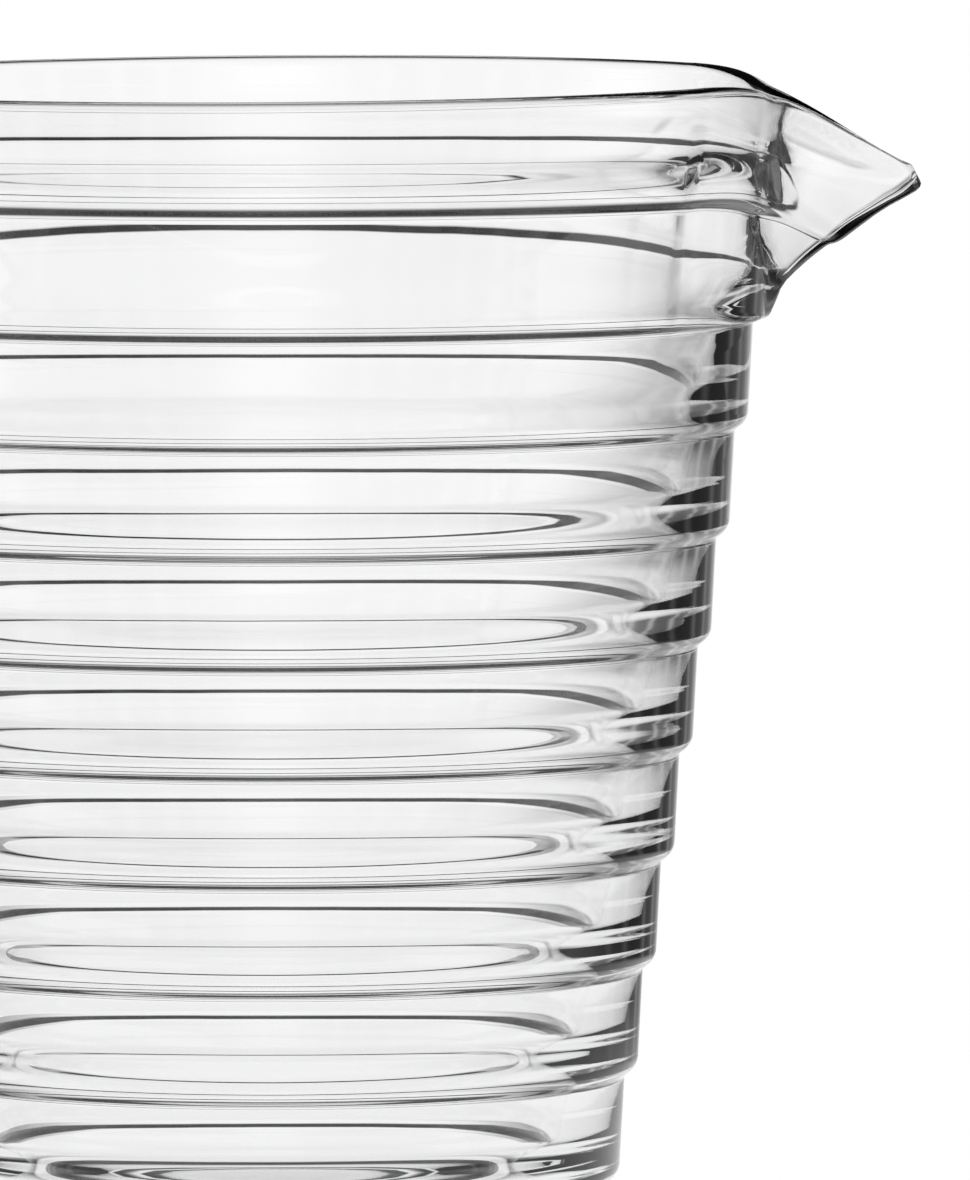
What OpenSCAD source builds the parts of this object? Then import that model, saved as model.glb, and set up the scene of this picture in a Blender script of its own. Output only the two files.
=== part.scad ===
// Glass cocktail pitcher, in millimetres. The wall tapers downwards in ring steps, the rim is
// pulled into a narrow pouring beak, and a glass handle is laid on the wall opposite the beak.
// The origin is at the centre of the foot, on the surface that the pitcher stands on. +Z is up,
// the beak points along +X and the handle lies towards -X.

/* [Rings] */
// Outer diameter of the vessel at its rim
rim_d = 140; // [130:1:160]
// Number of ring steps on the outside
ring_count = 11; // [8:1:12]
// Height from the rim down to the first ring step
lip_band_h = 16.9; // [12:0.1:20]
// Height from the first ring step to the second
neck_band_h = 16.5; // [12:0.1:20]
// Height of every other ring band
band_h = 14.55; // [11:0.05:18]
// Height of the lowest band, which is the foot
foot_band_h = 12; // [9:0.5:16]
// How far the wall steps inwards at each ring
ring_step = 1.87; // [1:0.01:2.5]
// How much the radius shrinks within one band
band_taper = 0.6; // [0:0.05:1.2]
// Height of the rounded shoulder over each step
shoulder_h = 2.4; // [1:0.1:4]
// Radius in the hollow corner under each step
corner_r = 0.5; // [0.2:0.05:0.8]

/* [Wall and base] */
// Thickness of the wall at the rim
rim_wall = 2.8; // [2:0.1:4]
// How much thicker the wall gets from one band to the next
wall_gain = 0.46; // [0:0.02:0.6]
// Height over which the inner wall moves from one band to the next
inner_blend_h = 9; // [4:0.5:10]
// Thickness of the glass under the inner floor
base_h = 12; // [8:0.5:16]
// Radius between the inner floor and the inner wall
floor_r = 11; // [6:0.5:14]
// Radius of the rounded edge round the foot
foot_edge_r = 2.2; // [1:0.1:4]
// Width of the flat ring that the pitcher stands on
foot_ring_w = 12; // [6:0.5:18]
// Depth of the hollow inside that ring
foot_hollow_h = 1.2; // [0.5:0.1:2]

/* [Beak] */
// How far the beak reaches beyond the rim
beak_reach = 17.6; // [12:0.1:24]
// How far the upper edge of the beak drops from the rim to the tip
beak_drop = 13.2; // [8:0.1:18]
// Height of the tip, from its upper edge to its underside
beak_tip_h = 3.4; // [2:0.1:5]
// Height of the beak's root, from the rim to where the underside meets the wall
beak_root_h = 31.2; // [24:0.1:36]
// Outer width of the beak where it leaves the rim
beak_root_w = 28; // [20:0.5:36]
// Outer width of the beak at its tip
beak_tip_w = 6.2; // [5:0.1:10]
// Thickness of the glass at the sides and the floor of the beak
beak_wall = 1.9; // [1.2:0.1:2.6]
// Height at which the pouring channel leaves the inside of the wall, measured down from the rim
channel_h = 24.7; // [18:0.1:28]

/* [Handle] */
// Depth of the middle of the upper join below the rim
handle_drop = 25; // [18:0.5:40]
// Height from the middle of the lower join to the middle of the upper one
handle_span = 78; // [64:1:90]
// Distance from the wall to the middle of the grip
handle_reach = 37; // [30:1:46]
// Width of the handle across the grip
handle_w = 17; // [12:0.5:24]
// Thickness of the handle in the direction of the reach
handle_t = 12; // [8:0.5:16]
// How much the handle widens where it joins the wall, as a share of its size
handle_flare_share = 0.42; // [0.1:0.02:0.7]

/* [Hidden] */

glass = [0.86, 0.91, 0.92, 0.5];

// Facets of the turned surfaces, and of each small arc in their outlines
turn_fn = 180;
arc_steps = 5;

// How far cutting shapes run past what they cut, and how deep joined shapes start inside the wall
cut_over = 1.5;
bury = 2.5;

// The share of the rim's thickness that is rounded on each side
rim_round_share = 0.42;
rim_round = rim_wall * rim_round_share;

// Bands count from 0 at the rim to ring_count at the foot
band_drop = ring_step + band_taper;
function height_of(i) =
    i == 0 ? lip_band_h : i == 1 ? neck_band_h : i == ring_count ? foot_band_h : band_h;
function height_above(i) = i == 0 ? 0 : height_above(i - 1) + height_of(i - 1);
rim_z = height_above(ring_count + 1);
function band_top_z(i) = rim_z - height_above(i);
function band_low_z(i) = rim_z - height_above(i + 1);
function band_top_r(i) = rim_d / 2 - i * band_drop;
function band_low_r(i) = band_top_r(i) - band_taper;
function inner_r(i) = band_top_r(i) - rim_wall - i * wall_gain;

// Points of an elliptical arc in a turned outline, from angle a to angle b
function arc(cx, cz, rx, rz, a, b, steps = arc_steps) =
    [for (k = [0:steps]) let (t = a + (b - a) * k / steps) [cx + rx * cos(t), cz + rz * sin(t)]];

// One ring: the rounded shoulder at the end of band i, and the hollow corner that starts the next
shoulder_w = ring_step - corner_r;
function ring_points(i) = concat(
    arc(band_low_r(i) - shoulder_w, band_low_z(i) + shoulder_h, shoulder_w, shoulder_h, 0, -90),
    arc(band_top_r(i + 1) + corner_r, band_low_z(i) - corner_r, corner_r, corner_r, 90, 180)
);

foot_r = band_low_r(ring_count);
outer_points = concat(
    [[0, rim_z]],
    arc(rim_d / 2 - rim_round, rim_z - rim_round, rim_round, rim_round, 90, 0),
    [for (i = [0:ring_count - 1]) each ring_points(i)],
    arc(foot_r - foot_edge_r, foot_edge_r, foot_edge_r, foot_edge_r, 0, -90),
    [[0, 0]]
);

// Inside, the wall follows the bands more softly. Bands that reach below the floor's rounding drop out
floor_top_z = base_h + floor_r;
inner_bands = [for (i = [0:ring_count]) if (band_low_z(i) >= floor_top_z) i];
last_band = max(inner_bands) + 1;
inner_steps = [
    for (i = inner_bands) each [
        [inner_r(i), band_low_z(i) + inner_blend_h / 2],
        [inner_r(i + 1), max(band_low_z(i) - inner_blend_h / 2, floor_top_z)]
    ]
];
rim_mouth_r = inner_r(0);
inner_points = concat(
    [[0, rim_z + cut_over], [rim_mouth_r + rim_round, rim_z + cut_over]],
    arc(rim_mouth_r + rim_round, rim_z - rim_round, rim_round, rim_round, 90, 180),
    inner_steps,
    arc(inner_r(last_band) - floor_r, floor_top_z, floor_r, floor_r, 0, -90),
    [[0, base_h]]
);

// A closed skin over a row of sections, each a ring of as many points
module loft(sections) {
    n = len(sections[0]);
    last = len(sections) - 1;
    polyhedron(
        points = [for (s = sections) each s],
        faces = concat(
            [[for (k = [0:n - 1]) k]],
            [[for (k = [n - 1:-1:0]) last * n + k]],
            [
                for (j = [0:last - 1], k = [0:n - 1])
                let (a = j * n + k, b = j * n + (k + 1) % n)
                each [[a, a + n, b + n], [a, b + n, b]]
            ]
        ),
        convexity = 6
    );
}

// The beak, cut square to X. t runs from 0 where the beak leaves the rim to 1 at the tip, and is
// below 0 where its root lies inside the wall
beak_x0 = rim_d / 2 - rim_wall;
beak_x1 = rim_d / 2 + beak_reach;
beak_len = beak_x1 - beak_x0;
beak_start = -(beak_x0 - inner_r(2) + bury) / beak_len;
beak_stations = 16;

// Shapes of the beak's edges, as powers of t
lip_power = 1.15;
keel_power = 8;
width_power = 7;
// The share of the keel's height that runs straight before it turns down into the wall, the longest
// stretch over which it turns, and the stretch of t over which the tip closes
keel_straight_share = 0.76;
keel_limit_share = 1.05;
tip_round_share = 0.09;

keel_fall = beak_root_h - beak_drop - beak_tip_h;
function lip_z(t) = rim_z - beak_drop * pow(max(t, 0), lip_power);
function keel_z(t) =
    let (u = min(1 - t, keel_limit_share))
    rim_z - beak_drop - beak_tip_h - keel_fall
        * (keel_straight_share * u + (1 - keel_straight_share) * pow(u, keel_power));
function beak_half_w(t) =
    beak_tip_w / 2 + (beak_root_w - beak_tip_w) / 2 * pow(min(max(1 - t, 0), 1), width_power);

// The tip closes like the end of an ellipse
function tip_close(t) =
    let (u = max(0, (t - 1 + tip_round_share) / tip_round_share)) sqrt(max(0, 1 - u * u));
tip_least_share = 0.25;
function tip_size(t) = tip_least_share + (1 - tip_least_share) * tip_close(t);

// One section: a rounded lip on each side, and flanks that close in a rounded keel. The lip takes a
// share of the wall, and no more than a share of the section's height
flank_power = 0.72;
flank_steps = 14;
beak_lip_share = 0.4;
lip_limit_share = 1 / 3;
// How far the middle of a rounded corner lies from the corner's own sides, as a share of its radius
corner_cut_share = 1 - cos(45);
function flank(t, half_w, top, low) = [
    for (k = [0:flank_steps])
    let (a = 180 * k / flank_steps, c = cos(a))
    [
        beak_x0 + beak_len * t,
        -half_w * sign(c) * pow(abs(c), flank_power),
        top - (top - low) * pow(sin(a), flank_power)
    ]
];

function beak_section(t) =
    let (
        size = tip_size(t),
        mid = (lip_z(t) + keel_z(t)) / 2,
        top = mid + (lip_z(t) - mid) * size,
        low = mid + (keel_z(t) - mid) * size,
        w = beak_half_w(t) * size,
        bead = min(beak_wall * beak_lip_share, (top - low) * lip_limit_share),
        cut = bead * corner_cut_share,
        x = beak_x0 + beak_len * t
    )
    concat(
        [[x, bead - w, top], [x, cut - w, top - cut]],
        flank(t, w, top - bead, low),
        [[x, w - cut, top - cut], [x, w - bead, top]]
    );

// The channel is cut from the inside of the wall to just short of the tip, and is never shallower
// than a share of the glass below it
channel_end = 1 - beak_wall / beak_len;
channel_fall = channel_h - beak_drop;
channel_power = 0.8;
channel_least_share = 0.25;
function channel_z(t) =
    rim_z - beak_drop + beak_wall / 2 - channel_fall * pow(max(channel_end - t, 0), channel_power);
function channel_section(t) =
    let (
        w = beak_half_w(t) - beak_wall,
        top = lip_z(t) - beak_wall * beak_lip_share,
        low = min(channel_z(t), top - beak_wall * channel_least_share),
        bead = beak_wall * beak_lip_share,
        x = beak_x0 + beak_len * t
    )
    concat(
        [[x, -w - bead, rim_z + cut_over], [x, -w - bead, top + bead]],
        flank(t, w, top, low),
        [[x, w + bead, top + bead], [x, w + bead, rim_z + cut_over]]
    );

// The beak's sections lie closer together towards its tip
station_power = 1.5;
function beak_station(k) =
    beak_start + (1 - beak_start) * (1 - pow(1 - k / beak_stations, station_power));

module beak_form() {
    loft([for (k = [0:beak_stations]) beak_section(beak_station(k))]);
}

module channel_form() {
    start = 2 * beak_start;
    loft([
        for (k = [0:beak_stations])
        channel_section(start + (channel_end - start) * k / beak_stations)
    ]);
}

module vessel_form() {
    rotate_extrude($fn = turn_fn) polygon(outer_points);
}

module inside_form() {
    rotate_extrude($fn = turn_fn) polygon(inner_points);
}

module foot_hollow() {
    hollow_r = foot_r - foot_edge_r - foot_ring_w;
    translate([0, 0, -cut_over])
        cylinder(h = foot_hollow_h + cut_over, r = hollow_r, $fn = turn_fn);
}

// The handle is one stretched gather: a flattened oval swept along a D between its two joins
handle_steps = 44;
handle_sides = 24;
bow_power = 0.62;
flare_power = 5;
function outer_r_at(z) =
    let (in_band = [for (i = [0:ring_count]) if (z <= band_top_z(i)) i])
    band_top_r(max(in_band));
handle_top_z = rim_z - handle_drop;
handle_low_z = handle_top_z - handle_span;
handle_mid_z = handle_top_z - handle_span / 2;
join_top_r = outer_r_at(handle_top_z) - bury;
join_low_r = outer_r_at(handle_low_z) - bury;

// The middle line at angle a, from -90 at the lower join to 90 at the upper one
function handle_path(a) =
    let (s = (1 + sin(a)) / 2)
    [
        -(join_low_r + (join_top_r - join_low_r) * s + (handle_reach + bury) * pow(cos(a), bow_power)),
        0,
        handle_mid_z + handle_span / 2 * sin(a)
    ];
function handle_angle(k) = -90 + 180 * k / handle_steps;
function unit(v) = v / norm(v);
function handle_section(k) =
    let (
        a = handle_angle(k),
        before = handle_path(handle_angle(max(k - 1, 0))),
        after = handle_path(handle_angle(min(k + 1, handle_steps))),
        along = unit(after - before),
        across = [along.z, 0, -along.x],
        grow = 1 + handle_flare_share * pow(abs(sin(a)), flare_power),
        p = handle_path(a)
    )
    [
        for (j = [0:handle_sides - 1])
        let (b = 360 * j / handle_sides)
        p + across * (handle_t / 2 * grow * cos(b)) + [0, 1, 0] * (handle_w / 2 * grow * sin(b))
    ];

module pitcher_body() {
    color(glass)
        difference() {
            union() {
                vessel_form();
                beak_form();
            }
            inside_form();
            channel_form();
            foot_hollow();
        }
}

module handle() {
    color(glass)
        difference() {
            loft([for (k = [0:handle_steps]) handle_section(k)]);
            vessel_form();
        }
}

pitcher_body();
handle();
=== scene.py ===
import math

import bpy
import numpy as np
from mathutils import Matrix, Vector


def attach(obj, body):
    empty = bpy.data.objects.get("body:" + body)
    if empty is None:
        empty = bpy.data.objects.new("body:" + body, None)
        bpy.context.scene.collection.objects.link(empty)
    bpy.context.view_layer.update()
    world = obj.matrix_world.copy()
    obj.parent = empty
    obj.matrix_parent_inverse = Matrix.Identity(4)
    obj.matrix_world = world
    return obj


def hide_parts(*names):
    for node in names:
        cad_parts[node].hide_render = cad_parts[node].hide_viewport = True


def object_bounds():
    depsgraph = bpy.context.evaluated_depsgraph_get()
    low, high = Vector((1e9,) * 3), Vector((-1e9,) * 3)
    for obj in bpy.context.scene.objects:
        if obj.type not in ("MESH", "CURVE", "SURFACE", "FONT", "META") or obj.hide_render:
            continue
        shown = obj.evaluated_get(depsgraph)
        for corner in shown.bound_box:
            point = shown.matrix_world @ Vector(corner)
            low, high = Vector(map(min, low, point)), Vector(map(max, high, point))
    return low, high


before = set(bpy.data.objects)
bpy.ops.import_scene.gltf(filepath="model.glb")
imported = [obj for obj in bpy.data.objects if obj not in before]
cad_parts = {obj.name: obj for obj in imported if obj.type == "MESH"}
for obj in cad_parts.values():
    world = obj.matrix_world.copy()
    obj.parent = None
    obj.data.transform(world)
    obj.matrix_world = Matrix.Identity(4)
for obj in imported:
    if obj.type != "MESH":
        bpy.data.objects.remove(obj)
cadLow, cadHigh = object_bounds()
scene = bpy.context.scene
mm = 0.001
print("frame: CAD box", [round(v, 4) for v in cadLow], [round(v, 4) for v in cadHigh])


# Formulas written as Python sums, which become Math nodes of a tree
class formula:
    def __init__(self, tree, socket):
        self.tree = tree
        self.socket = socket

    def __add__(self, other):
        return mathOf("ADD", self, other)

    def __radd__(self, other):
        return mathOf("ADD", other, self)

    def __sub__(self, other):
        return mathOf("SUBTRACT", self, other)

    def __rsub__(self, other):
        return mathOf("SUBTRACT", other, self)

    def __mul__(self, other):
        return mathOf("MULTIPLY", self, other)

    def __rmul__(self, other):
        return mathOf("MULTIPLY", other, self)

    def __truediv__(self, other):
        return mathOf("DIVIDE", self, other)

    def __rtruediv__(self, other):
        return mathOf("DIVIDE", other, self)

    def __pow__(self, other):
        return mathOf("POWER", self, other)


def putIn(tree, socket, value):
    # A formula or the output of a node is linked to the socket, and anything else is set on it
    if isinstance(value, formula):
        value = value.socket
    if isinstance(value, bpy.types.NodeSocket):
        tree.links.new(value, socket)
    else:
        socket.default_value = value


def addNode(tree, kind, inputs=None):
    # A new node, with its inputs given by name or by number
    node = tree.nodes.new(kind)
    for key, value in (inputs or {}).items():
        putIn(tree, node.inputs[key], value)
    return node


def mathOf(operation, *values):
    tree = next(v.tree for v in values if isinstance(v, formula))
    node = tree.nodes.new("ShaderNodeMath")
    node.operation = operation
    for socket, value in zip(node.inputs, values):
        putIn(tree, socket, value)
    return formula(tree, node.outputs[0])


def clampOf(value, low, high):
    return mathOf("MINIMUM", mathOf("MAXIMUM", value, low), high)


def smoothOf(value):
    held = clampOf(value, 0, 1)
    return held * held * (3 - 2 * held)


def riseOf(value, low, high):
    # 0 up to low, 1 from high, and a soft curve between them
    return smoothOf((value - low) / (high - low))


def partsOf(tree, vector):
    split = addNode(tree, "ShaderNodeSeparateXYZ", {0: vector})
    return [formula(tree, part) for part in split.outputs]


def vectorOf(tree, x, y, z):
    return addNode(tree, "ShaderNodeCombineXYZ", {0: x, 1: y, 2: z}).outputs[0]


def placed(tree, geometry, way, vector):
    # The geometry with its points at a Position, or moved by an Offset
    move = addNode(tree, "GeometryNodeSetPosition", {"Geometry": geometry, way: vector})
    return move.outputs[0]


def newTree(name, sizes):
    # A Geometry Nodes tree with one named input for each size, and its formulas by name
    tree = bpy.data.node_groups.new(name, "GeometryNodeTree")
    tree.interface.new_socket(name="Geometry", in_out="INPUT", socket_type="NodeSocketGeometry")
    tree.interface.new_socket(name="Geometry", in_out="OUTPUT", socket_type="NodeSocketGeometry")
    for label in sizes:
        tree.interface.new_socket(name=label, in_out="INPUT", socket_type="NodeSocketFloat")
    entry = tree.nodes.new("NodeGroupInput")
    return tree, {label: formula(tree, entry.outputs[label]) for label in sizes}


def closeTree(tree, geometry, material):
    smooth = addNode(tree, "GeometryNodeSetShadeSmooth", {0: geometry})
    real = addNode(tree, "GeometryNodeRealizeInstances", {0: smooth.outputs[0]})
    finish = addNode(tree, "GeometryNodeSetMaterial", {0: real.outputs[0], "Material": material})
    addNode(tree, "NodeGroupOutput", {0: finish.outputs[0]})


def meshFromTree(name, tree, sizes):
    # The tree's result as a plain mesh object, with the modifier gone
    carrier = bpy.data.objects.new(name, bpy.data.meshes.new(name + "Empty"))
    scene.collection.objects.link(carrier)
    modifier = carrier.modifiers.new(name, "NODES")
    modifier.node_group = tree
    for item in tree.interface.items_tree:
        if item.in_out == "INPUT" and item.name in sizes:
            modifier[item.identifier] = float(sizes[item.name])
    graph = bpy.context.evaluated_depsgraph_get()
    mesh = bpy.data.meshes.new_from_object(carrier.evaluated_get(graph))
    carrier.modifiers.remove(modifier)
    carrier.data = mesh
    mesh.name = name
    return carrier


def pointsOf(piece):
    flat = np.empty(len(piece.data.vertices) * 3)
    piece.data.vertices.foreach_get("co", flat)
    return flat.reshape(-1, 3)


def putPoints(piece, points):
    piece.data.vertices.foreach_set("co", points.ravel())
    piece.data.update()


# Glass: clear, with the faint swell and cords of blown glass in its surface
glassFinish = {
    "index": 1.5,
    "roughness": 0.0,
    "body": (1.0, 1.0, 1.0),
    "tint": (0.900, 0.912, 0.909),
    "tintDensity": 18.0,
    "waves": ((55.0, 0.012 * mm), (260.0, 0.0006 * mm)),  # scale and height of the swell, and of the cords
    "waveDetail": 2.0,
}


def glassMaterial(name, finish, shift):
    # The shift gives each piece a swell of its own
    material = bpy.data.materials.new(name)
    material.use_nodes = True
    tree = material.node_tree
    tree.nodes.clear()
    place = tree.nodes.new("ShaderNodeTexCoord")
    shifted = addNode(tree, "ShaderNodeMapping", {
        "Vector": place.outputs["Object"], "Location": (shift, 0, 0)})
    normal = None
    for scale, height in finish["waves"]:
        noise = addNode(tree, "ShaderNodeTexNoise", {
            "Vector": shifted.outputs[0], "Scale": scale, "Detail": finish["waveDetail"]})
        bump = addNode(tree, "ShaderNodeBump", {
            "Strength": 1.0, "Distance": height, "Height": noise.outputs[0]})
        if normal:
            tree.links.new(normal, bump.inputs["Normal"])
        normal = bump.outputs[0]
    glass = addNode(tree, "ShaderNodeBsdfPrincipled", {
        "Base Color": (*finish["body"], 1), "Roughness": finish["roughness"], "IOR": finish["index"],
        "Transmission Weight": 1.0, "Normal": normal})
    absorb = addNode(tree, "ShaderNodeVolumeAbsorption", {
        "Color": (*finish["tint"], 1), "Density": finish["tintDensity"]})
    addNode(tree, "ShaderNodeOutputMaterial", {"Surface": glass.outputs[0], "Volume": absorb.outputs[0]})
    return material


vesselGlass = glassMaterial("vesselGlass", glassFinish, shift=0.0)
handleGlass = glassMaterial("handleGlass", glassFinish, shift=3.0)
print("glass: two finishes made")


# The vessel: a turned wall in ring steps, made by a node tree
rimRise = 1.2 * mm  # of the tilted rim's highest point, which is as high as the solids' level rim
boxDigits = 6  # the frame's box is in single precision, so it is read to the micrometre
rimHeight = round(cadHigh[2], boxDigits) - rimRise
vesselSizes = {
    "Rim Radius": 69.9 * mm,
    "Rim Height": rimHeight,
    "Ring Count": 11,
    "Neck Band": 16.5 * mm,
    "Band": 14.55 * mm,
    "Foot Band": 12 * mm,
    "Ring Step": 1.87 * mm,
    "Band Taper": 0.6 * mm,
    "Shoulder Height": 2.2 * mm,
    "Corner Radius": 0.8 * mm,
    "Rim Wall": 2.8 * mm,
    "Wall Gain": 0.46 * mm,  # in thickness, at each ring
    "Upper Lean": 0.95,  # the inside's part of its narrowing that is an even lean. The rest is soft steps
    "Lower Lean": 0.735,
    "Lean Ease": 0.55,  # how it goes on easing further down
    "Lean Start": 4 * mm,  # depths below the rim
    "Lean Change": 47 * mm,
    "Lean Soft": 4 * mm,
    "Inner Blend": 5.6 * mm,  # the height of the inside's soft steps
    "Inner Lift": 4.7 * mm,  # of their middles above the rings
    "Base Height": 12 * mm,
    "Floor Radius": 11 * mm,
    "Foot Edge": 2.2 * mm,
    "Foot Ring": 12 * mm,
    "Foot Hollow": 1.2 * mm,
    "Rim Rounding": 0.47,
    "Crowding": 0.80,  # of the columns, towards the beak
    "Swell": 0.05 * mm,
    "Swell Size": 22 * mm,
    "Seed": 4.0,
}
vesselColumns = 264
vesselRows = {  # of faces, along each stretch of the outline
    "hollow": 5, "hollowStep": 4, "footRing": 2, "footEdge": 7, "footSide": 4,
    "corner": 4, "shoulder": 8, "wall": 3, "beakWall": 10,
    "lip": 5, "innerWall": 2, "innerBeakWall": 8, "innerStep": 11,
    "floorCorner": 10, "floor": 6,
}
beakRings = 2  # from the rim down, with more rows because the beak is pulled out of them
swellDetail = 1.0
weldGap = 0.001 * mm
nudge = 0.001  # keeps a whole number of rings from being rounded down

# A ring step is an S curve whose middle stays slanted
cornerRise = 1.4
cornerBend = math.radians(40)
shoulderStart = math.radians(30)


class turning:
    # Turned sheets of one tree. Each is a grid whose columns go round and whose rows follow the outline
    def __init__(self, tree, columns, crowding):
        self.tree = tree
        self.columns = columns
        self.crowding = crowding
        self.sheets = []

    def sheet(self, rows, outline):
        # outline(row) gives the radius and the height, for a row counted from 0
        tree = self.tree
        grid = addNode(tree, "GeometryNodeMeshGrid", {
            "Size X": self.columns, "Size Y": rows, "Vertices X": self.columns + 1, "Vertices Y": rows + 1})
        across, along, _ = partsOf(tree, tree.nodes.new("GeometryNodeInputPosition").outputs[0])
        turn = (across / self.columns + 0.5) * math.tau
        angle = turn - self.crowding * mathOf("SINE", turn)
        radius, height = outline(mathOf("ROUND", along + rows / 2))
        spot = vectorOf(tree, radius * mathOf("COSINE", angle), radius * mathOf("SINE", angle), height)
        self.sheets.append(placed(tree, grid.outputs[0], "Position", spot))

    def line(self, rows, start, end):
        def outline(row):
            share = row / rows
            return [first + (last - first) * share for first, last in zip(start, end)]
        self.sheet(rows, outline)

    def arc(self, rows, centre, radii, fromAngle, toAngle):
        def outline(row):
            angle = math.radians(fromAngle) + math.radians(toAngle - fromAngle) * (row / rows)
            out = radii[0] * mathOf("COSINE", angle)
            up = radii[1] * mathOf("SINE", angle)
            return centre[0] + out, centre[1] + up
        self.sheet(rows, outline)

    def joined(self):
        gather = self.tree.nodes.new("GeometryNodeJoinGeometry")
        for sheet in reversed(self.sheets):
            self.tree.links.new(sheet, gather.inputs[0])
        weld = addNode(self.tree, "GeometryNodeMergeByDistance", {
            "Geometry": gather.outputs[0], "Distance": weldGap})
        return weld.outputs[0]


class vesselWall:
    # Radii and heights of the vessel's outline, as formulas of the tree's sizes. Ring 0 is under the rim
    def __init__(self, size):
        self.size = size
        self.zero = size["Rim Radius"] * 0
        self.cornerH = size["Corner Radius"] * cornerRise
        self.narrowing = size["Ring Step"] + size["Band Taper"]
        self.rimRound = size["Rim Wall"] * size["Rim Rounding"]
        self.roundZ = size["Rim Height"] - self.rimRound

    def isTop(self, ring):
        # 1 for ring 0, and 0 for those below it
        return mathOf("MAXIMUM", 1 - ring, 0)

    def ringZ(self, ring):
        # Height of the corner under a ring's band
        size = self.size
        taller = self.isTop(ring) * (size["Neck Band"] - size["Band"])
        return size["Foot Band"] + (size["Ring Count"] - 1 - ring) * size["Band"] + taller

    def upTo(self, ring, height):
        # A height, but for ring 0 the one at which the rim's rounding starts
        top = self.isTop(ring)
        return (1 - top) * height + top * self.roundZ

    def outerR(self, ring):
        # Outer radius at the top of a ring's band
        return self.size["Rim Radius"] - ring * self.narrowing

    def pastOf(self, depth, start):
        # How far a depth is past a start, with a soft beginning
        soft = self.size["Lean Soft"]
        past = depth - start
        first = (mathOf("SQRT", start * start + soft * soft) - start) / 2
        return (past + mathOf("SQRT", past * past + soft * soft)) / 2 - first

    def leaned(self, depth):
        # How many rings' narrowing the inside's lean has made down to a depth. Lower down it leans less
        size = self.size
        lower = self.pastOf(depth, size["Lean Change"])
        eased = (size["Upper Lean"] - size["Lower Lean"]) * lower + size["Lean Ease"] * lower * lower
        return (size["Upper Lean"] * self.pastOf(depth, size["Lean Start"]) - eased) / size["Band"]

    def stepped(self, ring):
        # How many rings' narrowing the soft steps have made, down to the end of the one above a ring
        size = self.size
        height = self.ringZ(ring - 1)
        depth = size["Rim Height"] - height + size["Inner Blend"] / 2 - size["Inner Lift"]
        return ring - self.leaned(mathOf("MAXIMUM", depth, 0)) * mathOf("MINIMUM", ring, 1)

    def innerR(self, height, steps):
        size = self.size
        lost = (self.narrowing + size["Wall Gain"]) * (self.leaned(size["Rim Height"] - height) + steps)
        return size["Rim Radius"] - size["Rim Wall"] - lost


def ringOf(row, perRing, ringNumber):
    # How many whole rings lie before a row, and how far the row is into its own
    order = mathOf("MINIMUM", mathOf("FLOOR", row / perRing + nudge), ringNumber - 1)
    return order, row - order * perRing


def footRows(turned, wall):
    # Under the foot: a hollow disc, a soft step, the ring it stands on, its rounded edge and its side
    size, rows, zero = wall.size, vesselRows, wall.zero
    rings, edge, hollow = size["Ring Count"], size["Foot Edge"], size["Foot Hollow"]
    footR = wall.outerR(rings) - size["Band Taper"]
    ringInR = footR - edge - size["Foot Ring"]
    turned.line(rows["hollow"], (zero, hollow), (ringInR - 2 * hollow, hollow))
    turned.arc(rows["hollowStep"], (ringInR - 2 * hollow, hollow / 2), (hollow, hollow / 2), 90, 0)
    turned.arc(rows["hollowStep"], (ringInR, hollow / 2), (hollow, hollow / 2), 180, 270)
    turned.line(rows["footRing"], (ringInR, zero), (footR - edge, zero))
    turned.arc(rows["footEdge"], (footR - edge, edge), (edge, edge), 270, 360)
    turned.line(rows["footSide"], (footR, edge), (wall.outerR(rings), wall.ringZ(rings - 1) - wall.cornerH))


def outerRings(turned, wall, firstRing, ringNumber, wallRows):
    # Rings upwards from number firstRing. Each is a hollow corner, a rounded shoulder and its wall
    size = wall.size
    cornerRows, shoulderRows = vesselRows["corner"], vesselRows["shoulder"]
    perRing = cornerRows + shoulderRows + wallRows
    corner, shoulderH, taper = size["Corner Radius"], size["Shoulder Height"], size["Band Taper"]
    shoulderW = size["Ring Step"] - corner

    def outline(row):
        order, inRing = ringOf(row, perRing, ringNumber)
        ring = firstRing - order
        cornerTurn = clampOf(inRing / cornerRows, 0, 1) * cornerBend
        cornerOut = corner * (1 - mathOf("COSINE", cornerTurn)) / (1 - math.cos(cornerBend))
        cornerDown = wall.cornerH * (1 - mathOf("SINE", cornerTurn) / math.sin(cornerBend))
        turn = clampOf((inRing - cornerRows) / shoulderRows, 0, 1)
        turn = shoulderStart + (math.pi / 2 - shoulderStart) * turn
        out = (mathOf("SINE", turn) - math.sin(shoulderStart)) / (1 - math.sin(shoulderStart))
        rise = 1 - mathOf("COSINE", turn) / math.cos(shoulderStart)
        up = clampOf((inRing - cornerRows - shoulderRows) / wallRows, 0, 1)
        up = 0.5 - 0.5 * mathOf("COSINE", up * math.pi)
        lowZ = wall.ringZ(ring)
        endZ = wall.upTo(ring, wall.ringZ(mathOf("MAXIMUM", ring - 1, 0)) - wall.cornerH)
        radius = wall.outerR(ring + 1) + cornerOut + shoulderW * out + taper * up
        height = lowZ - cornerDown + shoulderH * rise + (endZ - lowZ - shoulderH) * up
        return radius, height
    turned.sheet(perRing * ringNumber, outline)


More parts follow.
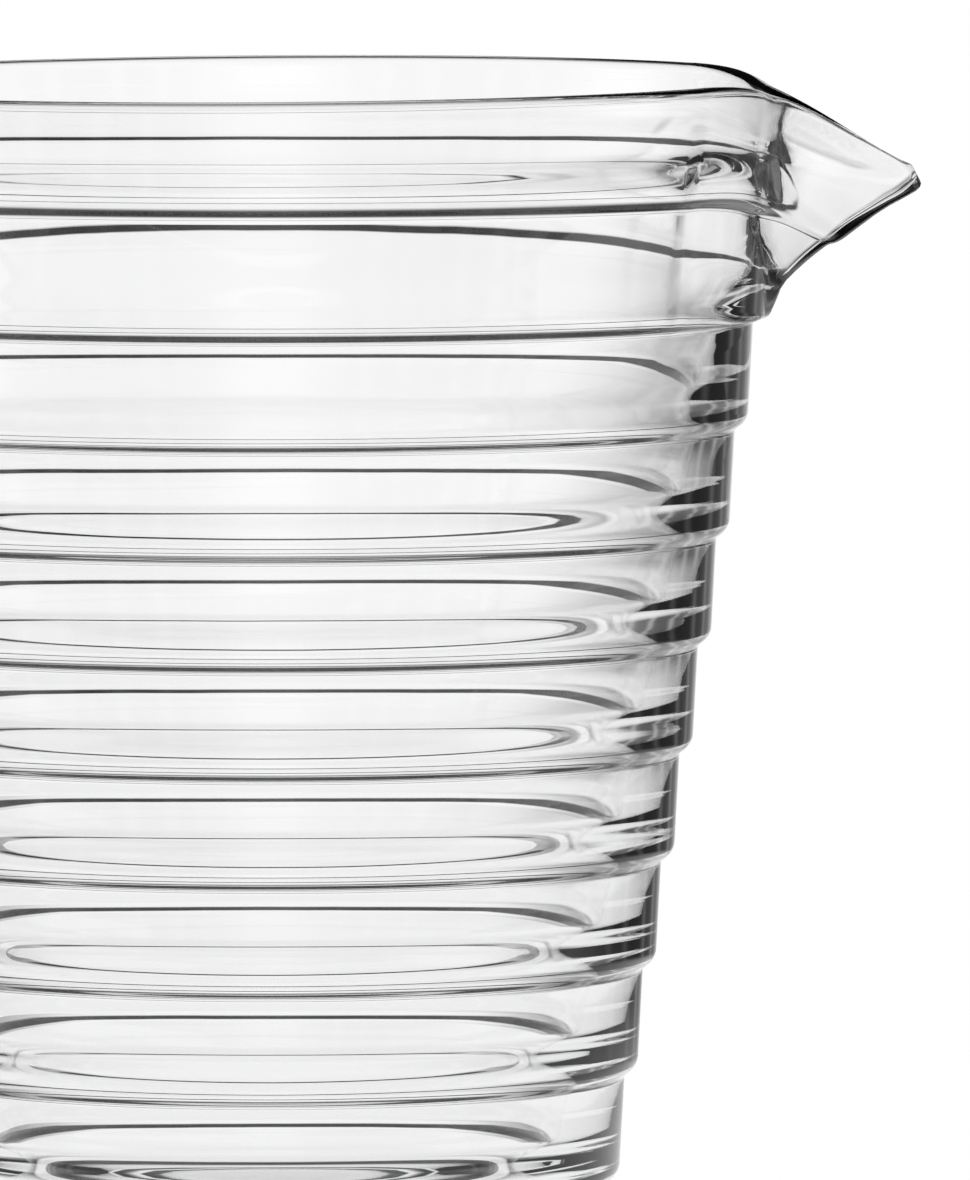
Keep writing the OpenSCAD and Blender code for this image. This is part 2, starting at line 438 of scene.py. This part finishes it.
def rimRows(turned, wall):
    # Over the rim, which is rounded on both sides
    rimR, rimZ = wall.size["Rim Radius"], wall.size["Rim Height"]
    rimRound, roundZ = wall.rimRound, wall.roundZ
    lipR = wall.innerR(roundZ, 0)
    turned.arc(vesselRows["lip"], (rimR - rimRound, roundZ), (rimRound, rimRound), 0, 90)
    turned.line(1, (rimR - rimRound, rimZ), (lipR + rimRound, rimZ))
    turned.arc(vesselRows["lip"], (lipR + rimRound, roundZ), (rimRound, rimRound), 90, 180)


def innerRings(turned, wall, firstRing, ringNumber, wallRows):
    # Down the inside, which leans inwards and steps softly a little above each ring
    blend, lift = wall.size["Inner Blend"], wall.size["Inner Lift"]
    perRing = wallRows + vesselRows["innerStep"]

    def outline(row):
        order, inRing = ringOf(row, perRing, ringNumber)
        ring = order + firstRing
        down = clampOf(inRing / wallRows, 0, 1)
        across = clampOf((inRing - wallRows) / vesselRows["innerStep"], 0, 1)
        startZ = wall.upTo(ring, wall.ringZ(mathOf("MAXIMUM", ring - 1, 0)) - blend / 2 + lift)
        stepZ = wall.ringZ(ring) + blend / 2 + lift
        height = startZ + (stepZ - startZ) * down - blend * across
        before = wall.stepped(ring)
        steps = before + (wall.stepped(ring + 1) - before) * smoothOf(across)
        return wall.innerR(height, steps), height
    turned.sheet(perRing * ringNumber, outline)


def floorRows(turned, wall):
    # The inside below its last step, its rounded corner and the floor
    size = wall.size
    base, floorR = size["Base Height"], size["Floor Radius"]
    steps = wall.stepped(size["Ring Count"] - 1)
    startZ = wall.ringZ(size["Ring Count"] - 2) - size["Inner Blend"] / 2 + size["Inner Lift"]
    floorTop = base + floorR
    endR = wall.innerR(floorTop, steps)
    turned.line(1, (wall.innerR(startZ, steps), startZ), (endR, floorTop))
    turned.arc(vesselRows["floorCorner"], (endR - floorR, floorTop), (floorR, floorR), 0, -90)
    turned.line(vesselRows["floor"], (endR - floorR, base), (wall.zero, base))


def swollen(tree, geometry, size):
    # The swell that blowing leaves. It only goes inwards
    place = tree.nodes.new("GeometryNodeInputPosition").outputs[0]
    noise = addNode(tree, "ShaderNodeTexNoise", {
        "Vector": place, "Scale": 1 / size["Swell Size"], "Detail": swellDetail})
    noise.noise_dimensions = "4D"
    putIn(tree, noise.inputs["W"], size["Seed"])
    push = tree.nodes.new("ShaderNodeVectorMath")
    push.operation = "SCALE"
    putIn(tree, push.inputs[0], tree.nodes.new("GeometryNodeInputNormal").outputs[0])
    putIn(tree, push.inputs["Scale"], (formula(tree, noise.outputs[0]) - 1) * size["Swell"])
    return placed(tree, geometry, "Offset", push.outputs[0])


def vesselTree():
    # The outline runs from the middle of the foot up the outside, over the rim and down the inside
    tree, size = newTree("ringedVessel", vesselSizes)
    turned = turning(tree, vesselColumns, size["Crowding"])
    wall = vesselWall(size)
    ringCount = vesselSizes["Ring Count"]
    footRows(turned, wall)
    outerRings(turned, wall, size["Ring Count"] - 1, ringCount - beakRings, vesselRows["wall"])
    outerRings(turned, wall, wall.zero + (beakRings - 1), beakRings, vesselRows["beakWall"])
    rimRows(turned, wall)
    innerRings(turned, wall, 0, beakRings, vesselRows["innerBeakWall"])
    innerRings(turned, wall, beakRings, ringCount - 1 - beakRings, vesselRows["innerWall"])
    floorRows(turned, wall)
    closeTree(tree, swollen(tree, turned.joined(), size), vesselGlass)
    return tree


vessel = meshFromTree("glass_vessel", vesselTree(), vesselSizes)
print("vessel: turned wall of", len(vessel.data.vertices), "points")


# The beak: the rim and the top two bands are pulled out and down, as is done while the glass is soft
beakPull = {
    "halfAngle": math.radians(34),  # of the wall that is drawn along, on each side
    "keel": (  # in mm: depth below the rim, how far that point of the wall is pulled out, and how far down
        (0.0, 17.0, 12.6), (1.2, 17.75, 12.6), (3.0, 17.6, 11.7), (5.0, 16.5, 10.5),
        (8.0, 13.2, 9.35), (12.0, 10.0, 7.8), (16.0, 7.1, 6.2), (20.0, 4.2, 4.6),
        (24.0, 2.1, 3.0), (28.0, 1.3, 1.5), (33.0, 0.0, 0.0)),
    "pinchDepth": 9 * mm,  # the lip is pinched narrow, and the wall below it opens out to this depth
    "noseRadius": (2.8 * mm, 3.2 * mm, 14 * mm),  # at the lip, below the pinch and at the lowest point
    "cornerRadius": (16 * mm, 40 * mm, 34 * mm),  # of the hollow corner to the round wall, there too
    "flankTurn": (math.radians(74), math.radians(64)),  # at the lip and below the pinch
    "curveShare": 0.98,  # of a short reach, that the nose and the corner make by themselves
    "beakReach": 4 * mm,  # a wall that is pulled out by as much counts as beak
    "dropStart": 2.4 * mm,  # inside the round wall, where the drop starts
    "dropSoft": 5.0 * mm,
    "dropMost": 1.2,  # times the keel's own drop, at the tip
    "dropFade": math.radians(17),  # before the half angle, where the drop fades out
    "taper": 0.155,  # of the wall without its ring steps
    "settle": 0.9 * mm,
    "settleDepth": 10 * mm,
    "wallShare": (0.66, 0.50),  # of its thickness, that the pulled wall keeps at the lip and below it
    "wallDepth": (1.5 * mm, 7 * mm),  # where the share starts to change, and where it has
    "wallFade": 0.6,  # of the half angle, over which the wall thins
    "wallEnd": 10 * mm,  # of the pulled depth, over which the wall gets its thickness back
    "ringShare": 0.40,  # of the ring step, that is left on the beak
    "squareDepth": 5.4 * mm,  # nearer the lip, the wall is set square to the one at this depth
    "insideFrom": 1.5 * mm,  # a point further in than this belongs to the inside of the wall
    "leastRadius": 30 * mm,  # points nearer the axis stay
}
keelDepth = beakPull["keel"][-1][0] * mm
leastAngle = 1e-6  # a point on the keel is taken to one side of it
probe = 1e-4  # a small step in angle or depth, which gives the wall's direction


def smoothStep(value):
    held = np.clip(value, 0, 1)
    return held * held * (3 - 2 * held)


def alongTable(table, column, depth):
    # A soft curve through one column of a table whose first column is the depth
    at = np.array([row[0] for row in table]) * mm
    value = np.array([row[column] for row in table]) * mm
    slope = np.gradient(value, at)
    cell = np.clip(np.searchsorted(at, depth) - 1, 0, len(at) - 2)
    width = at[cell + 1] - at[cell]
    t = np.clip((depth - at[cell]) / width, 0, 1)
    rise = value[cell] * (2 * t ** 3 - 3 * t ** 2 + 1) + value[cell + 1] * (3 * t ** 2 - 2 * t ** 3)
    return rise + width * (slope[cell] * (t ** 3 - 2 * t ** 2 + t) + slope[cell + 1] * (t ** 3 - t ** 2))


def softWallRadius(depth):
    # The outer wall without its ring steps
    settled = beakPull["settle"] * smoothStep(depth / beakPull["settleDepth"])
    return vesselSizes["Rim Radius"] - beakPull["taper"] * depth + settled


def beakPlan(angle, radius, reach, nose, corner, flankTurn):
    # In plan the wall runs round the nose, along the flank and through the hollow corner to the circle.
    # Gives where a point at this angle goes, and how much it counts as beak
    halfAngle = beakPull["halfAngle"]
    turn = np.arccos(np.clip(1 - beakPull["curveShare"] * reach / (nose + corner), np.cos(flankTurn), 1))
    noseX = radius + reach - nose
    alongX, alongY = -np.sin(turn), np.cos(turn)
    outX, outY = np.cos(turn), np.sin(turn)
    startX = noseX + (nose + corner) * outX
    startY = (nose + corner) * outY
    slide = startX * alongX + startY * alongY
    inside = slide ** 2 - startX ** 2 - startY ** 2 + (radius + corner) ** 2
    flank = np.maximum(-slide - np.sqrt(np.maximum(inside, 0)), 0)
    cornerX = startX + flank * alongX
    cornerY = startY + flank * alongY
    meet = np.arctan2(cornerY, cornerX)

    # The point keeps its share of the whole way from the keel to the half angle
    noseRun = nose * turn
    cornerRun = corner * (turn - meet)
    rest = radius * (halfAngle - meet)
    run = np.abs(angle) / halfAngle * (noseRun + flank + cornerRun + rest)
    noseAngle = run / nose
    along = run - noseRun
    cornerAngle = turn + math.pi - (run - noseRun - flank) / corner
    restAngle = meet + (run - noseRun - flank - cornerRun) / radius

    far = np.abs(angle) >= halfAngle
    stretches = [far, run <= noseRun, run <= noseRun + flank, run <= noseRun + flank + cornerRun]
    x = np.select(stretches, [
        radius * np.cos(angle), noseX + nose * np.cos(noseAngle), noseX + nose * outX + along * alongX,
        cornerX + corner * np.cos(cornerAngle)], radius * np.cos(restAngle))
    y = np.select(stretches, [
        radius * np.abs(np.sin(angle)), nose * np.sin(noseAngle), nose * outY + along * alongY,
        cornerY + corner * np.sin(cornerAngle)], radius * np.sin(restAngle))
    beak = smoothStep(1 - (run - noseRun - flank) / np.maximum(cornerRun, mm)) * np.where(far, 0, 1)
    return x, y * np.sign(angle), beak * smoothStep(reach / beakPull["beakReach"])


def pulledWall(angle, depth):
    # The point of the pulled wall that lay at this angle and depth, and how much it counts as beak
    pull = beakPull
    share = np.clip(depth / keelDepth, 0, 1)
    reach = np.maximum(alongTable(pull["keel"], 1, depth), 0)
    drop = np.maximum(alongTable(pull["keel"], 2, depth), 0)
    opened = smoothStep(depth / pull["pinchDepth"])
    lipNose, midNose, lowNose = pull["noseRadius"]
    lipCorner, midCorner, lowCorner = pull["cornerRadius"]
    lipTurn, midTurn = pull["flankTurn"]
    nose = lipNose + (midNose - lipNose) * opened + (lowNose - midNose) * share ** 3
    corner = lipCorner + (midCorner - lipCorner) * opened + (lowCorner - midCorner) * share ** 2
    flankTurn = lipTurn + (midTurn - lipTurn) * opened
    radius = softWallRadius(depth)
    x, y, beak = beakPlan(angle, radius, reach, nose, corner, flankTurn)

    # The drop grows along the beak, and starts a little before it
    start = radius - pull["dropStart"]
    length = np.maximum(radius + reach - start, pull["dropStart"])
    ahead = x - start
    drawn = (ahead + np.sqrt(ahead ** 2 + pull["dropSoft"] ** 2)) / 2 / length
    fade = smoothStep((pull["halfAngle"] - np.abs(angle)) / pull["dropFade"])
    z = rimHeight - depth - drop * (np.clip(drawn, 0, pull["dropMost"]) * fade)
    return np.stack([x, y, z], axis=1), beak


def pullBeak(piece):
    pull = beakPull
    points = pointsOf(piece)
    angle = np.arctan2(points[:, 1], points[:, 0])
    radius = np.hypot(points[:, 0], points[:, 1])
    depth = rimHeight - points[:, 2]
    near = (np.abs(angle) < pull["halfAngle"]) & (depth < keelDepth) & (radius > pull["leastRadius"])
    a, h = angle[near], depth[near]
    a = np.where(np.abs(a) < leastAngle, leastAngle, a)
    middle, beak = pulledWall(a, h)

    # Each point keeps its distance from the wall, square to it
    lower = np.maximum(h, pull["squareDepth"])
    acrossWall = pulledWall(a + probe, lower)[0] - pulledWall(a - probe, lower)[0]
    downWall = pulledWall(a, lower + probe)[0] - pulledWall(a, lower - probe)[0]
    normal = np.cross(downWall, acrossWall)
    normal /= np.linalg.norm(normal, axis=1)[:, None]
    offset = radius[near] - softWallRadius(h)

    # But the wall has thinned, and its ring steps have been drawn flat
    lipShare, lowShare = pull["wallShare"]
    changeStart, changeEnd = pull["wallDepth"]
    keeps = lipShare + (lowShare - lipShare) * smoothStep((h - changeStart) / (changeEnd - changeStart))
    thinning = smoothStep((pull["halfAngle"] - np.abs(a)) / (pull["halfAngle"] * pull["wallFade"]))
    thin = 1 - (1 - keeps) * thinning * smoothStep((keelDepth - h) / pull["wallEnd"])
    ringy = 1 - (1 - pull["ringShare"]) * beak
    offset = np.where(offset < -pull["insideFrom"], offset * thin, offset * ringy)
    points[near] = middle + normal * offset[:, None]
    putPoints(piece, points)


# A hand-made rim is a little off level. The tilt fades out at the first ring
rimTilt = {
    "backRise": 0.0157,  # for each metre towards the back, and towards the beak
    "beakRise": 0.0064,
    "height": 15.7 * mm,
}


def tiltRim(piece):
    points = pointsOf(piece)
    fade = smoothStep(1 - (rimHeight - points[:, 2]) / rimTilt["height"])
    points[:, 2] += fade * (rimTilt["backRise"] * points[:, 1] + rimTilt["beakRise"] * points[:, 0])
    points[:, 2] = np.clip(points[:, 2], 0, cadHigh[2])
    putPoints(piece, points)


pullBeak(vessel)
tiltRim(vessel)
print("vessel: beak pulled and rim tilted")


# The handle: one stretched gather, swept along a D that stands on the wall opposite the beak
handleSizes = {
    "Reach": 39.46 * mm,
    "Top Join X": 65.03 * mm,
    "Low Join X": 52.68 * mm,
    "Middle Height": 112.35 * mm,
    "Half Height": 38.93 * mm,
    "Width": 17 * mm,
    "Thickness": 12 * mm,
    "Flare": 0.42,  # of the ends
}
handleSteps = 96
handleSides = 48
handleSeat = 0.5 * mm  # how deep the ends sit in the wall
bowPower = 0.62
flarePower = 5


def handleTree():
    tree, size = newTree("sweptHandle", handleSizes)
    line = addNode(tree, "GeometryNodeMeshLine", {"Count": handleSteps + 1})
    share = formula(tree, tree.nodes.new("GeometryNodeInputIndex").outputs[0]) / handleSteps
    angle = (share - 0.5) * math.pi
    rise = (1 + mathOf("SINE", angle)) / 2
    bow = mathOf("MAXIMUM", mathOf("COSINE", angle), 0) ** bowPower
    out = size["Low Join X"] + (size["Top Join X"] - size["Low Join X"]) * rise + size["Reach"] * bow
    height = size["Middle Height"] + size["Half Height"] * mathOf("SINE", angle)
    route = placed(tree, line.outputs[0], "Position", vectorOf(tree, out * -1, 0, height))
    path = addNode(tree, "GeometryNodeMeshToCurve", {0: route})

    # The profile is a circle 1 m across, stretched to the handle's width and thickness
    circle = addNode(tree, "GeometryNodeCurvePrimitiveCircle", {"Resolution": handleSides, "Radius": 0.5})
    stretch = vectorOf(tree, size["Width"], size["Thickness"], 1)
    oval = addNode(tree, "GeometryNodeTransform", {"Geometry": circle.outputs[0], "Scale": stretch})
    flare = 1 + size["Flare"] * mathOf("ABSOLUTE", mathOf("SINE", angle)) ** flarePower
    sweep = addNode(tree, "GeometryNodeCurveToMesh", {
        "Curve": path.outputs[0], "Profile Curve": oval.outputs[0], "Scale": flare, "Fill Caps": True})
    closeTree(tree, sweep.outputs[0], handleGlass)
    return tree


def outerWall(height):
    # Radius of the vessel's ringed outside at a height
    size = vesselSizes
    lowBands = size["Band"] * (size["Ring Count"] - 2)
    neck = size["Rim Height"] - size["Foot Band"] - lowBands - size["Neck Band"]
    ring = np.floor((size["Rim Height"] - height - neck) / size["Band"]) + 1
    return size["Rim Radius"] - ring * (size["Ring Step"] + size["Band Taper"])


def seatHandle(piece):
    # The ends are pressed on the wall, a little way into it
    points = pointsOf(piece)
    deepest = outerWall(points[:, 2]) - handleSeat
    near = np.hypot(points[:, 0], points[:, 1]) < deepest
    points[near, 0] = -np.sqrt(np.maximum(deepest[near] ** 2 - points[near, 1] ** 2, 0))
    putPoints(piece, points)


handlePiece = meshFromTree("glass_handle", handleTree(), handleSizes)
seatHandle(handlePiece)
print("handle: swept, of", len(handlePiece.data.vertices), "points")


# The camera stands where the photograph was taken from
view = {
    "aimX": 28.8 * mm,
    "aimZ": 106 * mm,
    "distance": 2.0,
    "height": 236 * mm,
    "fieldTall": 159.3 * mm,  # at the aim
    "sensorTall": 36.0,  # in mm, along the taller side of the frame
}
cameraData = bpy.data.cameras.new("camera")
camera = bpy.data.objects.new("camera", cameraData)
scene.collection.objects.link(camera)
scene.camera = camera
camera.location = (view["aimX"], -view["distance"], view["height"])
aim = Vector((view["aimX"], 0, view["aimZ"])) - camera.location
camera.rotation_euler = aim.to_track_quat("-Z", "Y").to_euler()
cameraData.sensor_width = view["sensorTall"]
cameraData.lens = view["sensorTall"] * aim.length / view["fieldTall"]
cameraData.clip_start = 0.1
cameraData.clip_end = 50
print("camera: placed, with a lens of", round(cameraData.lens), "mm")


# The studio: a pale floor that keeps the shadow near the pitcher and shows the glass a painted sheen and
# painted shade, a white surround and soft lamps
studio = {
    "floorRadius": 1.6,
    "floorSides": 96,
    "floorColour": (0.80, 0.80, 0.80, 1),
    "whiteFrom": 0.22,  # how far out the eye's floor starts to turn plain white
    "whiteRadius": 0.7,
    "nearWhite": 0.5,
    "paintedSheenTilt": (0.33, 0.56),  # for the painted sheen: how far from square on the glass sees the floor go from dark to white
    "steepTilt": (0.17, 0.26),  # and from white to dark, when it looks nearly straight down
    "leastPaintedSheen": 0.05,
    "nearPaintedSheen": 0.92,
    "shadeRadius": (0.85, 1.15),  # where the painted shade between the axes starts on the floor, and is full
    "closeShadeRadius": (0.25, 0.50),  # and where x and y have the same sign
    "ambient": 0.75,
    "topLight": 0.02,  # that is left in the dark ceiling
    "topRise": (0.10, 0.30),
    "shadeLight": 0.05,  # that is left in the dark between the axes
    "whiteHalfWidth": math.radians(4),
    "glowHalfWidth": math.radians(11),
    "stripAt": math.radians(26),
    "stripEvery": math.radians(11),
    "stripStart": math.radians(13),
    "stripSoft": math.radians(6),
    "stripPower": 3,
    "stripLight": 0.30,
    "lampPower": 9.0,
    "lampSize": 0.8,
    "lamps": {"keyLamp": (-0.9, -0.9, 1.6), "fillLamp": (1.1, -0.5, 1.4), "backLamp": (0.1, 1.2, 1.5)},
}


def seenRays(tree):
    # Rays of the eye, and rays that a reflection or the glass sends out. All others carry light
    path = tree.nodes.new("ShaderNodeLightPath")
    names = ("Is Camera Ray", "Is Glossy Ray", "Is Transmission Ray")
    eye, glossy, through = (formula(tree, path.outputs[name]) for name in names)
    return eye, (1 - eye) * mathOf("MAXIMUM", glossy, through)


def sideShade(tree, x, y):
    # How dark the studio is: it is white along the four axes, and falls off softly between them. The world
    # is lit so, and on the floor it is painted shade
    aside = mathOf("PINGPONG", mathOf("ARCTAN2", y, x) + math.tau, math.pi / 4)
    outside = mathOf("MAXIMUM", aside - studio["whiteHalfWidth"], 0) / studio["glowHalfWidth"]
    glow = 1 / (1 + outside * outside)

    # Past the white stand a few paler strips, which streak the upright edges of the glass
    wave = 0.5 + 0.5 * mathOf("COSINE", (aside - studio["stripAt"]) * (math.tau / studio["stripEvery"]))
    begun = smoothOf((aside - studio["stripStart"]) / studio["stripSoft"])
    strips = wave ** studio["stripPower"] * begun * studio["stripLight"]
    return (1 - studio["shadeLight"]) * (1 - glow) * (1 - strips)


def floorMaterial():
    # The eye sees a matt floor that turns plain white further out. The glass sees a painted sheen on it: a
    # glow that is white at a slant and nearly straight down, dark between, with painted shade between the
    # axes
    material = bpy.data.materials.new("paleFloor")
    material.use_nodes = True
    tree = material.node_tree
    tree.nodes.clear()
    x, y, _ = partsOf(tree, tree.nodes.new("ShaderNodeTexCoord").outputs["Object"])
    eye, glass = seenRays(tree)
    away = mathOf("SQRT", x * x + y * y)
    share = riseOf(away, studio["whiteFrom"], studio["whiteRadius"])
    white = studio["nearWhite"] + (1 - studio["nearWhite"]) * share

    facing = addNode(tree, "ShaderNodeLayerWeight", {"Blend": 0.5})
    tilt = formula(tree, facing.outputs["Facing"])
    slant = mathOf("MAXIMUM", riseOf(tilt, *studio["paintedSheenTilt"]), 1 - riseOf(tilt, *studio["steepTilt"]))
    slant = studio["leastPaintedSheen"] + (1 - studio["leastPaintedSheen"]) * slant
    oneSign = mathOf("GREATER_THAN", x * y, 0)
    starts, full = (
        wide + (close - wide) * oneSign
        for wide, close in zip(studio["shadeRadius"], studio["closeShadeRadius"]))
    # Painted shade on the floor's glow, dark between the axes
    shade = sideShade(tree, x, y) * riseOf(away, starts, full)
    paintedSheenLight = slant * (1 - shade) * (studio["nearPaintedSheen"] + (1 - studio["nearPaintedSheen"]) * share)

    matt = addNode(tree, "ShaderNodeBsdfDiffuse", {"Color": studio["floorColour"]})
    plain = tree.nodes.new("ShaderNodeEmission")
    # The painted sheen: an emission that only the glass's rays see on the floor
    sheen = addNode(tree, "ShaderNodeEmission", {"Strength": paintedSheenLight})
    seen = addNode(tree, "ShaderNodeMixShader", {0: white * eye, 1: matt.outputs[0], 2: plain.outputs[0]})
    surface = addNode(tree, "ShaderNodeMixShader", {0: glass, 1: seen.outputs[0], 2: sheen.outputs[0]})
    addNode(tree, "ShaderNodeOutputMaterial", {"Surface": surface.outputs[0]})
    return material


def makeFloor():
    sides = studio["floorSides"]
    mesh = bpy.data.meshes.new("floor")
    ring = []
    for k in range(sides):
        angle = math.tau * k / sides
        ring.append((studio["floorRadius"] * math.cos(angle), studio["floorRadius"] * math.sin(angle), 0))
    mesh.from_pydata(ring, [], [tuple(range(sides))])
    mesh.materials.append(floorMaterial())
    floor = bpy.data.objects.new("floor", mesh)
    scene.collection.objects.link(floor)


def makeWorld():
    # White to the eye. The glass also sees a dark ceiling and the dark between the axes
    world = bpy.data.worlds.new("studio")
    scene.world = world
    world.use_nodes = True
    tree = world.node_tree
    tree.nodes.clear()
    x, y, z = partsOf(tree, tree.nodes.new("ShaderNodeTexCoord").outputs["Generated"])
    eye, glass = seenRays(tree)
    top = riseOf(z, *studio["topRise"]) * (1 - studio["topLight"])
    shade = mathOf("MAXIMUM", top, sideShade(tree, x, y))
    light = eye + glass * (1 - shade) + (1 - eye - glass) * studio["ambient"]
    back = addNode(tree, "ShaderNodeBackground", {"Color": (1, 1, 1, 1), "Strength": light})
    addNode(tree, "ShaderNodeOutputWorld", {"Surface": back.outputs[0]})


def makeLamps():
    for name, place in studio["lamps"].items():
        data = bpy.data.lights.new(name, "AREA")
        data.energy = studio["lampPower"]
        data.size = studio["lampSize"]
        lamp = bpy.data.objects.new(name, data)
        lamp.location = place
        lamp.rotation_euler = (-Vector(place)).to_track_quat("-Z", "Y").to_euler()
        lamp.visible_glossy = False
        lamp.visible_transmission = False
        scene.collection.objects.link(lamp)


makeFloor()
makeWorld()
makeLamps()
print("studio: floor, world and lamps")

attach(handlePiece, "root")
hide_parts("handle")
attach(vessel, "root")
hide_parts("pitcher_body")
scene.view_settings.view_transform = "Standard"
